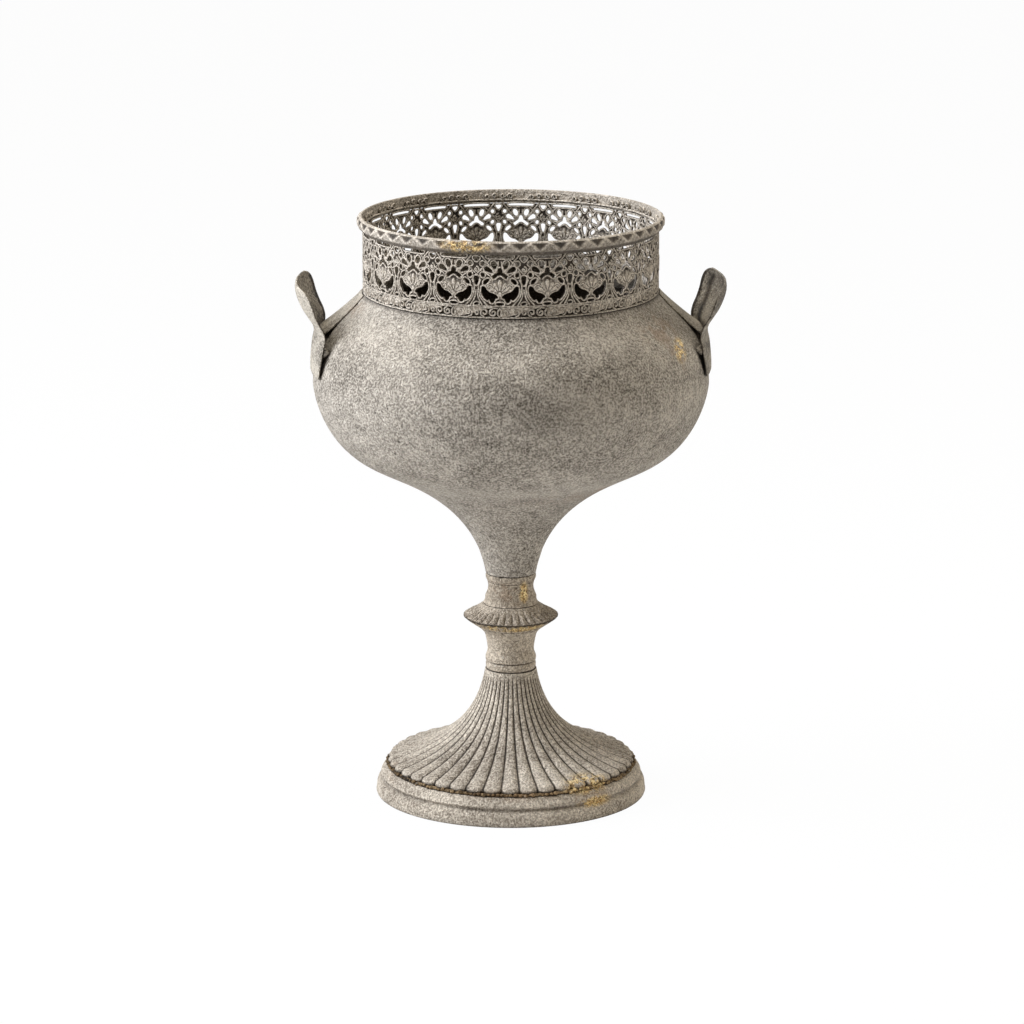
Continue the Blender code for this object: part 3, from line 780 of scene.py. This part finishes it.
def studded_rim(material):
    """The rolled rim, with a zigzag ridge round it that leaves triangles, pointing up and down in turn,
    painted darker off the ridge as shade, the upper triangles most, with a painted shadow under the rim.
    """
    rounding = [(0.0, 2.4), (0.6, 1.4), (1.9, 0.8), (3.8, 0.75), (5.6, 1.1), (6.9, 1.9)]
    rows = [(RIM_TOP - down, RIM_RADIUS - in_by) for down, in_by in rounding]
    face = through(rows + [(RIM_LOW + 0.1, RIM_RADIUS - 3.1)], 0.4)
    inner = [(RIM_LOW + 0.1, RIM_RADIUS - 3.4), (RIM_TOP - 0.8, RIM_RADIUS - 3.4),
             (RIM_TOP - 0.1, RIM_RADIUS - 3.1)]
    last = len(face)
    zigzag_start, zigzag_drop = 1.2, 4.4
    ridge_width, ridge_stand = 0.8, 0.75

    def studded(share, i, z, r):
        if i >= last:
            return z, r, 0.3
        phase = share * RIM_STUDS - PALMETTE_ANGLE / 360 * RIM_STUDS
        slant = abs(2 * (phase % 1.0) - 1)
        ridge = RIM_TOP - zigzag_start - zigzag_drop * slant + wavy(share * 3.0, z, 0.5, 2.0)
        off = (z - ridge) * 0.8
        raised = math.exp(-(off / ridge_width) ** 2)
        # painted shade: off the ridge the triangles above it darker than those below, and a painted shadow on
        # the rim's lower edge
        under = min(1.0, max(0.0, (RIM_TOP - z - 5.0) / 1.6))
        facet_shade = 0.92 if off > 0 else 0.38
        grime_and_shade = max((1 - raised) * (facet_shade if RIM_TOP - z > 0.9 else 0.2), 0.8 * under)
        return z, r + ridge_stand * raised - 0.05, grime_and_shade

    bm = lathe(face + inner, RIM_STUDS * STUD_FACETS, studded)
    finished("studded_rim", bm, material, ["rim_bead"], angle=60)


def lug_shade_and_dirt(z, across, to_side, side, under_top, grime_and_shade):
    """A lug's painted shade: on its outside, mottled and more on the right one, which faces away from the
    light, and on its inside, along the sides and in a band down one half, over the darkness it is given."""
    ragged = 4.5 + 1.5 * noise.noise(Vector((z * 0.9, side, across)))
    # painted shade along the inside's edges and in a band down one half
    side_shade = 0.97 if to_side < ragged else 0.0
    shade_band = 0.95 * math.exp(-((to_side - 16) / 5.0) ** 2) if across * side > 0 else 0.0
    # painted shade on the outside, mottled, more on the right lug
    spot = noise.noise(Vector((z * 0.35, side, across * 9)))
    return max(0.0, 0.5 * side * spot + 0.25 * side), under_top * max(grime_and_shade, shade_band, side_shade)


def sheet(rows, thickness, side, columns=48, spacing=1.2, edge=0.3, grime_and_shade=0.0):
    """A sheet with rounded edges, bent round the axis at one side, rows as (height, outer radius, half
    angle). Given a darkness, it is darkened as a lug is, with painted shade, but for a strip along its top
    inside."""
    line = through(rows, spacing)
    bm = bmesh.new()
    dirt_and_shade = bm.verts.layers.float.new("dirt_and_shade")
    last = len(line) - 1
    highest = max(line[0][0], line[-1][0])
    outside, inside = [], []
    for j, (z, r, half) in enumerate(line):
        before, after = line[max(j - 1, 0)], line[min(j + 1, last)]
        dz, dr = after[0] - before[0], after[1] - before[1]
        long = math.hypot(dz, dr)
        normal_r, normal_z = abs(dz) / long, -dr / long * (1 if dz > 0 else -1)
        under_top = min(1.0, max(0.0, (highest - z - 2.0) / 2.5))
        out_row, in_row = [], []
        for i in range(columns + 1):
            across = math.sin(math.pi / 2 * (2 * i / columns - 1))
            angle = math.radians(half) * across
            to_side = (1 - abs(across)) * math.radians(half) * r
            border = min(to_side, min(abs(z - line[0][0]), abs(z - line[-1][0])) * 1.2)
            round_off = edge * max(0.0, 1 - border / 0.9) ** 2
            outer, inner = lug_shade_and_dirt(z, across, to_side, side, under_top, grime_and_shade) if grime_and_shade else (0.0, 0.0)
            for row, depth, shade_and_soil in ((out_row, -round_off, outer), (in_row, round_off - thickness, inner)):
                rr = r + normal_r * depth
                zz = z + normal_z * depth
                vert = bm.verts.new(Vector((side * rr * math.cos(angle), rr * math.sin(angle), zz)) * MM)
                vert[dirt_and_shade] = shade_and_soil
                row.append(vert)
        outside.append(out_row)
        inside.append(in_row)
    for grid in (outside, inside):
        for j in range(last):
            for i in range(columns):
                bm.faces.new((grid[j][i], grid[j][i + 1], grid[j + 1][i + 1], grid[j + 1][i]))
    for j in range(last):
        for i in (0, columns):
            bm.faces.new((outside[j][i], outside[j + 1][i], inside[j + 1][i], inside[j][i]))
    for j in (0, last):
        for i in range(columns):
            bm.faces.new((outside[j][i], outside[j][i + 1], inside[j][i + 1], inside[j][i]))
    return bm


def handle_rows():
    """The plate against the bowl, the waist and the flared lug, from the foot up: share of the height,
    distance in from the lug's reach, half angle."""
    shape = [(0.0, 9.0, 15.0), (0.03, 8.8, 15.9), (0.15, 9.0, 17.2), (0.32, 9.9, 18.4), (0.455, 11.2, 18.6),
             (0.55, 9.9, 18.9), (0.635, 7.0, 19.6), (0.73, 3.7, 20.8), (0.83, 1.3, 21.6), (0.912, 0.1, 20.8),
             (0.965, 0.1, 18.4), (0.99, 0.3, 16.0), (1.0, 0.6, 13.6)]
    height = HANDLE_TOP - HANDLE_LOW
    return [(HANDLE_LOW + share * height, HANDLE_REACH - depth, half) for share, depth, half in shape]


def strap_rows():
    """The strap on the shoulder, from the gallery down to the handle's waist."""
    start, stop = top("shoulder_plate_right"), low("shoulder_plate_right") + 0.4
    rows, steps = [], 6
    for i in range(steps + 1):
        share = i / steps
        z = start + (stop - start) * share
        rows.append((z, bowl_reach(z) + 1.1 + 0.3 * share + 3.6 * share ** 5, 7.5 + 2.8 * share))
    return rows


def weld_seam(side):
    """The raised, lumpy seam between a handle's flap and the bowl."""
    middle = (low("handle_weld_right") + top("handle_weld_right")) / 2
    outer = reach("handle_weld_right") + 1.0
    shape = ((-2.8, 0.7, 17.4), (-1.4, 0.3, 18.2), (0.0, 0.2, 18.6), (1.4, 0.4, 18.6), (2.8, 0.9, 18.2))
    rows = [(middle + rise, outer - in_by, half) for rise, in_by, half in shape]
    bm = sheet(rows, SEAM_SHEET, side, columns=40, spacing=0.5, edge=0.4)
    for v in bm.verts:
        v.co.z += SEAM_LUMP * noise.noise(v.co * SEAM_LUMPS_PER_METRE)
    return bm


def side_pieces(metal):
    """The lug handles, the straps that run to them and the seams that hold them."""
    for word, side in (("left", -1), ("right", 1)):
        # the lugs darkened with painted shade
        lug = sheet(handle_rows(), HANDLE_SHEET, side, grime_and_shade=0.12)
        finished("lug_handle_" + word, lug, metal, ["handle_" + word], angle=50)
        strap = sheet(strap_rows(), STRAP_SHEET, side, columns=24, edge=0.25)
        finished("shoulder_strap_" + word, strap, metal, ["shoulder_plate_" + word],
                 angle=50)
        seam = weld_seam(side)
        finished("weld_seam_" + word, seam, metal, ["handle_weld_" + word], angle=60)


def stem_ring(name, node, metal, shape):
    """A ring on the stem, its shape as (rise, distance in from the stem's radius)."""
    z = low(node)
    ring = [(z + rise, STEM_RADIUS - in_by) for rise, in_by in shape]
    finished(name, lathe(bored(ring), RING_FACETS), metal, [node])


def stem_spool(name, node, metal, shape):
    """A waisted spool on the stem, a little uneven, its shape as (rise, radius)."""
    def worn(share, i, z, r):
        return z, r + (wavy(share, z * 3, 0.25, 9.0) if r > BORE_RADIUS + 1 else 0.0), 0.0

    z = low(node)
    spool = through([(z + rise, r) for rise, r in shape], 0.8)
    finished(name, lathe(bored(spool), SPOOL_FACETS, worn), metal, [node])


def turned_stem(metal):
    """The rings, spools and fluted knop between the bowl and the foot."""
    stem_ring("neck_ring", "neck_collar", metal,
              [(4.7, 0.7), (4.5, 0.3), (3.5, -0.05), (2.2, 0.0), (0.9, 0.5), (0.0, 0.9)])
    stem_ring("foot_ring", "lower_collar", metal,
              [(4.9, 0.7), (4.5, 0.3), (3.3, 0.0), (1.7, 0.0), (0.5, 0.3), (0.1, 0.7)])
    stem_spool("spool_above", "upper_spool", metal,
               [(13.7, 14.4), (11.2, 13.9), (8.3, 14.2), (5.7, 15.1), (4.3, 15.7), (3.3, 15.7), (1.7, 15.9),
                (0.0, 16.8)])
    stem_spool("spool_below", "lower_spool", metal,
               [(21.0, 19.4), (17.7, 16.4), (14.6, 15.4), (12.0, 14.8), (8.0, 14.15), (5.4, 14.3),
                (3.8, 14.9), (2.2, 15.4), (0.2, 15.3)])
    fluted_knop(metal)


def fluted_knop(metal):
    """The thin-edged disc on the stem, fluted above and below, with dirt in its flutes and on its edge."""
    z = low("knop_disc")
    above = [(14.6, 17.0), (12.5, 19.9), (10.3, 23.4), (8.6, 26.8), (7.5, 28.5)]
    below = [(6.3, 28.6), (5.3, 27.4), (3.3, 24.6), (1.5, 22.0), (0.1, 20.0)]
    over = through([(z + rise, r) for rise, r in above], 0.8)
    under = through([(z + rise, r) for rise, r in below], 0.8)
    edge_high, edge_low = z + 7.1, z + 6.7
    outline = bored(over + [(edge_high, KNOP_RADIUS - 0.05), (edge_low, KNOP_RADIUS - 0.05)] + under)
    last = len(outline) - 2
    flute_depth = 1.2

    def fluted(share, i, height, r):
        if not 1 < i < last:
            return height, r, 0.0
        rib = abs(math.sin(math.pi * share * KNOP_FLUTES))
        grown_in = min(1.0, max(0.0, (r - 18.5) / 5))
        grown_in *= max(0.0, min(1.0, (KNOP_RADIUS - r) / 1.5 + 0.1))
        depth = flute_depth * grown_in * (1 - rib ** 0.8)
        down = -depth if height > edge_high else depth
        edge = 0.9 if height < edge_high + 0.3 and r > KNOP_RADIUS - 1.8 else 0.0
        groove = 0.45 * grown_in * max(0.0, 1 - rib / 0.4)
        return height + down * 0.7, r - depth * 0.7, max(edge, groove)

    bm = lathe(outline, KNOP_FLUTES * KNOP_FLUTE_FACETS, fluted)
    finished("fluted_knop", bm, metal, ["knop_disc"], angle=30)


def foot_profile():
    """The flared foot's outside, top to bottom, with its nose over the beads."""
    head = (FOOT_TOP, STEM_RADIUS + 0.4)
    edge = (FOOT_LOW + 5.2, SCALLOP_RADIUS - 2.6)
    falling, spreading = between(head, edge, [(0.69, 0.115), (0.857, 0.553)])
    nose = [(FOOT_LOW + 4.4, SCALLOP_RADIUS - 1.3), (FOOT_LOW + 3.4, SCALLOP_RADIUS - 0.6),
            (FOOT_LOW + 2.2, SCALLOP_RADIUS - 0.1)]
    return bend(head, falling, spreading, edge, 44) + [edge] + nose


def fluted_foot(metal):
    """The flared foot with its scalloped edge, hollow under its boss, with dirt in the grooves and a painted
    shadow under the scalloped edge.
    """
    outer = foot_profile()
    boss_low = FOOT_TOP - BOSS_HEIGHT
    lip = [(FOOT_LOW + 1.2, SCALLOP_RADIUS - 1.0), (FOOT_LOW + 0.8, SCALLOP_RADIUS - 1.9),
           (FOOT_LOW + 0.3, SCALLOP_RADIUS - 2.0), (FOOT_LOW + 0.3, SCALLOP_RADIUS - 5.0)]
    inner = [p for p in inset(outer, FOOT_SHEET)[::-1] if p[1] < lip[-1][1] - 0.5 and p[0] < boss_low - 1.5]
    boss = [(boss_low, STEM_RADIUS - 0.3), (boss_low, BORE_RADIUS), (FOOT_TOP, BORE_RADIUS)]
    last = len(outer) + 1

    def fluted(share, i, z, r):
        if i > last or z > FOOT_TOP - 1.0:
            return z, r, 0.0
        along = share * FOOT_FLUTES - FOOT_GROOVE_ANGLE / 360 * FOOT_FLUTES
        rib = abs(math.sin(math.pi * along))
        lobe = rib ** 0.6
        grown_in = min(1.0, max(0.0, (FOOT_TOP - 1.5 - z) / 4))
        depth = grown_in * (0.5 + 1.3 * min(1.0, (r - STEM_RADIUS) / 40))
        scallop = max(0.0, min(1.0, (r - SCALLOP_RADIUS + 5) / 4))
        drop = (depth + 1.3 * scallop) * (1 - lobe)
        flat = min(1.0, max(0.0, (r - 20) / 40))
        grime_and_shade = grown_in * min(1.0, 1.5 * max(0.0, 1 - rib / (0.62 - 0.36 * flat)))
        # a painted shadow under the scalloped edge
        if i >= len(outer) - 1:
            grime_and_shade = max(grime_and_shade, 0.7)
        down = drop * (0.15 + 0.75 * flat) * (1 - scallop)
        inward = drop * (0.95 - 0.6 * flat * (1 - scallop))
        return z - down, r - inward, grime_and_shade

    bm = lathe(outer + lip + inner + boss, FOOT_FLUTES * FOOT_FLUTE_FACETS, fluted)
    finished("fluted_foot", bm, metal, ["foot_shell"], angle=60)


def bead_row(metal):
    """The uneven row of small beads in the crevice under the scallops."""
    bm = bmesh.new()
    chance = random.Random(BEAD_SEED)
    seat = low("bead_ring")
    angle = 0.0
    while angle < 360.0:
        size = chance.uniform(*BEAD_SIZES)
        turn = math.radians(angle)
        radius = SCALLOP_RADIUS - 0.2 + chance.uniform(-0.4, 0.6)
        rise = seat + 0.9 + chance.uniform(-0.5, 0.5)
        middle = Vector((radius * math.sin(turn), -radius * math.cos(turn), rise))
        made = bmesh.ops.create_icosphere(bm, subdivisions=2, radius=size * MM)
        squash = Matrix.Diagonal((1.0, 1.0, BEAD_FLATNESS, 1.0))
        bmesh.ops.transform(bm, matrix=Matrix.Translation(middle * MM) @ squash, verts=made["verts"])
        angle += math.degrees(size / radius) * chance.uniform(*BEAD_SPACING)
    section = [(1.6, -1.4), (1.3, -0.6), (0.3, -0.1), (-0.1, -0.4), (-0.1, -1.4)]
    ring = lathe([(seat + rise, SCALLOP_RADIUS + out) for rise, out in section], BEAD_SEAT_FACETS)
    merged = bpy.data.meshes.new("ring")
    ring.to_mesh(merged)
    ring.free()
    bm.from_mesh(merged)
    finished("bead_row", bm, metal, ["bead_ring"], angle=60)


def plinth(metal):
    """The moulded base: a sloping band, a soft cove round it with painted shade in it, and a crusty lower
    band.
    """
    slope = through([(PLINTH_HEIGHT, 6.9), (16.0, 5.5), (14.4, 4.2), (12.8, 3.2), (11.6, 2.9)], 0.6)
    cove = through([(10.9, 3.5), (10.1, 4.0), (9.3, 3.7), (8.5, 2.4)], 0.4)
    band = through([(7.6, 1.3), (5.8, 0.6), (3.2, 0.25), (0.9, 0.15)], 0.8)
    hollow = [(0.0, 0.5), (0.0, 4.1), (0.6, 4.5), (8.0, 4.9), (13.0, 8.0), (15.4, 10.3), (15.4, 17.3)]
    rows = [(PLINTH_HEIGHT, 17.3)] + slope + cove + band + hollow
    outline = [(PLINTH_TOP - PLINTH_HEIGHT + rise, FOOT_RADIUS - in_by) for rise, in_by in rows]
    first, last = 2, 1 + len(slope) + len(cove) + len(band)

    def worn(share, i, z, r):
        grime_and_shade = 0.0
        if first < i < last - 1:
            r = min(r + wavy(share, z * 2, 0.5, 4.0) - 0.15, FOOT_RADIUS)
            stain = 0.35 + wavy(share, z * 5, 0.5, 7.0)
            # painted shade in the cove
            cove_shade = max(0.0, 0.5 - abs(z - 9.9) / 3.4)
            grime_and_shade = cove_shade + max(0.0, stain) * max(0.0, 1 - z / 3)
        return z, r, grime_and_shade

    bm = lathe(outline, BIG_FACETS, worn)
    finished("moulded_plinth", bm, metal, ["plinth_ring"], angle=45)


def thread(start, stop, radius):
    """A rod with round thread ridges, closed at both ends."""
    outline = [(start, 0.02)]
    z = start
    while z < stop:
        outline.append((z, radius - THREAD_DEPTH))
        outline.append((min(z + THREAD_PITCH / 2, stop), radius))
        z += THREAD_PITCH
    outline.append((stop, 0.02))
    return lathe(outline, ROD_FACETS)


def inside_pieces(metal):
    """The rod that holds bowl, stem and foot together, with its washers and nuts."""
    rod = thread(low("tie_rod"), top("tie_rod"), ROD_RADIUS)
    finished("threaded_rod", rod, metal, ["tie_rod"], angle=30)
    for name in ("bowl_washer", "foot_washer"):
        z, high, wide = low(name), top(name), reach(name)
        section = [(z, BORE_RADIUS), (high, BORE_RADIUS), (high, wide - 0.3), (high - 0.3, wide),
                   (z + 0.3, wide), (z, wide - 0.3)]
        bm = lathe(section, WASHER_FACETS)
        finished(name + "_plate", bm, metal, [name], angle=30)
    for name in ("bowl_nut", "foot_nut"):
        z, high, wide = low(name), top(name), reach(name)
        section = [(z, BORE_RADIUS), (z, wide - 0.6), (z + 0.5, wide), (high - 0.5, wide), (high, wide - 0.6),
                   (high, BORE_RADIUS)]

        def hexagon(share, i, height, r):
            turn = (share * 6) % 1.0 - 0.5
            flat = math.cos(math.pi / 6) / math.cos(turn * math.pi / 3)
            return height, min(r, wide * flat) if r > BORE_RADIUS + 0.5 else r, 0.0

        bm = lathe(section, NUT_FACETS, hexagon)
        finished(name + "_hexagon", bm, metal, [name], angle=25)


def background_ray(tree):
    """1 for the rays that show the background: from the camera, mirrored, or through glass."""
    path = tree.nodes.new("ShaderNodeLightPath")
    total = path.outputs["Is Camera Ray"]
    for kind in ("Is Glossy Ray", "Is Transmission Ray"):
        either = tree.nodes.new("ShaderNodeMath")
        either.operation = "MAXIMUM"
        tree.links.new(total, either.inputs[0])
        tree.links.new(path.outputs[kind], either.inputs[1])
        total = either.outputs[0]
    return total


def backdrop():
    """A plain pale floor that shows white to the camera and keeps a faint shadow."""
    bpy.ops.mesh.primitive_plane_add(size=FLOOR_SIZE, location=(0, 0, -FLOOR_DROP))
    floor = bpy.context.object
    floor.name = "floor"
    n = Nodes("floor_paint")
    n.put(n.shader.inputs["Base Color"], FLOOR_GREY)
    n.shader.inputs["Roughness"].default_value = 0.9
    glow = n.add("ShaderNodeEmission", {"Color": WHITE, "Strength": 1.0})
    blend = n.add("ShaderNodeMixShader")
    n.put(blend.inputs[0], n.math("MULTIPLY", background_ray(n.tree), FLOOR_GLOW))
    n.put(blend.inputs[1], n.shader.outputs[0])
    n.put(blend.inputs[2], glow.outputs[0])
    n.put(n.tree.nodes["Material Output"].inputs[0], blend.outputs[0])
    floor.data.materials.append(n.material)


def lamp(name, place, width, height, power, shade):
    """A soft rectangular lamp, width and height in metres, that faces the object."""
    data = bpy.data.lights.new(name, "AREA")
    data.color = shade
    data.shape = "RECTANGLE"
    data.size = width
    data.size_y = height
    data.energy = power
    made = bpy.data.objects.new(name, data)
    bpy.context.scene.collection.objects.link(made)
    made.location = place
    made.rotation_mode = "QUATERNION"
    made.rotation_quaternion = (Vector(LIT_PLACE) - Vector(place)).to_track_quat("-Z", "Y")


def lights():
    """An even surround that looks white and lights dimly, a soft key from the left, a fainter lamp above and
    a faint one for the right edge."""
    world = bpy.data.worlds.new("studio")
    bpy.context.scene.world = world
    world.use_nodes = True
    tree = world.node_tree
    back = tree.nodes["Background"]
    background = background_ray(tree)
    tint = tree.nodes.new("ShaderNodeMix")
    tint.data_type = "RGBA"
    tree.links.new(background, tint.inputs[MIX_SHARE])
    tint.inputs[MIX_FIRST].default_value = WORLD_TINT
    tint.inputs[MIX_SECOND].default_value = WHITE
    tree.links.new(tint.outputs[MIX_RESULT], back.inputs["Color"])
    shown = tree.nodes.new("ShaderNodeMath")
    shown.operation = "MULTIPLY_ADD"
    tree.links.new(background, shown.inputs[0])
    shown.inputs[1].default_value = 1.0 - WORLD_LIGHT
    shown.inputs[2].default_value = WORLD_LIGHT
    tree.links.new(shown.outputs[0], back.inputs["Strength"])
    lamp("key", (-1.5, -0.05, 1.25), 1.5, 1.5, KEY_POWER, KEY_SHADE)
    lamp("above", (0.0, -0.1, 2.0), 1.0, 1.0, ABOVE_POWER, WARM_SHADE)
    lamp("right_edge", (1.5, 0.3, 0.6), 0.7, 1.2, EDGE_POWER, WARM_SHADE)


def camera():
    """The camera at the photograph's angle and distance."""
    pitch, turn = math.radians(VIEW_PITCH), math.radians(VIEW_TURN)
    data = bpy.data.cameras.new("view")
    data.sensor_width = SENSOR_WIDTH
    data.lens = SENSOR_WIDTH * (FOCAL_PIXELS / IMAGE_WIDTH)
    made = bpy.data.objects.new("view", data)
    bpy.context.scene.collection.objects.link(made)
    away = Vector((math.sin(turn) * math.cos(pitch), math.cos(turn) * math.cos(pitch), -math.sin(pitch)))
    aim = seen(VIEW_SIDE, 0.0, VIEW_HEIGHT)
    made.location = aim - away * VIEW_DISTANCE * MM
    made.rotation_mode = "QUATERNION"
    made.rotation_quaternion = away.to_track_quat("-Z", "Y")
    data.clip_start, data.clip_end = 0.1, 50.0
    bpy.context.scene.camera = made


def build():
    """Makes the finishes, the pieces, the floor, the lights and the camera."""
    bowl_metal = patina("bowl_patina_finish", colour(203, 194, 181), colour(80, 73, 63))
    gallery_metal = patina("gallery_patina_finish", colour(238, 227, 212), colour(146, 136, 122),
                           crevice=0.001)
    handle_metal = patina("handle_patina_finish", colour(196, 187, 172), colour(64, 57, 49), cloud=0.6)
    stem_metal = patina("stem_patina_finish", colour(220, 206, 186), colour(98, 86, 72), grain=0.85,
                        crevice=0.0018)
    foot_metal = patina("foot_patina_finish", colour(234, 222, 204), colour(100, 88, 74), grain=0.85,
                        crevice=0.0025)
    bead_metal = patina("bead_patina_finish", colour(158, 134, 100), colour(34, 26, 18), cloud=0.9,
                        crevice=0.002)
    bowl(bowl_metal)
    gallery(gallery_metal)
    studded_rim(gallery_metal)
    side_pieces(handle_metal)
    turned_stem(stem_metal)
    fluted_foot(foot_metal)
    bead_row(bead_metal)
    plinth(foot_metal)
    inside_pieces(steel())
    backdrop()
    lights()
    camera()


build()
bpy.context.scene.view_settings.view_transform = "Standard"
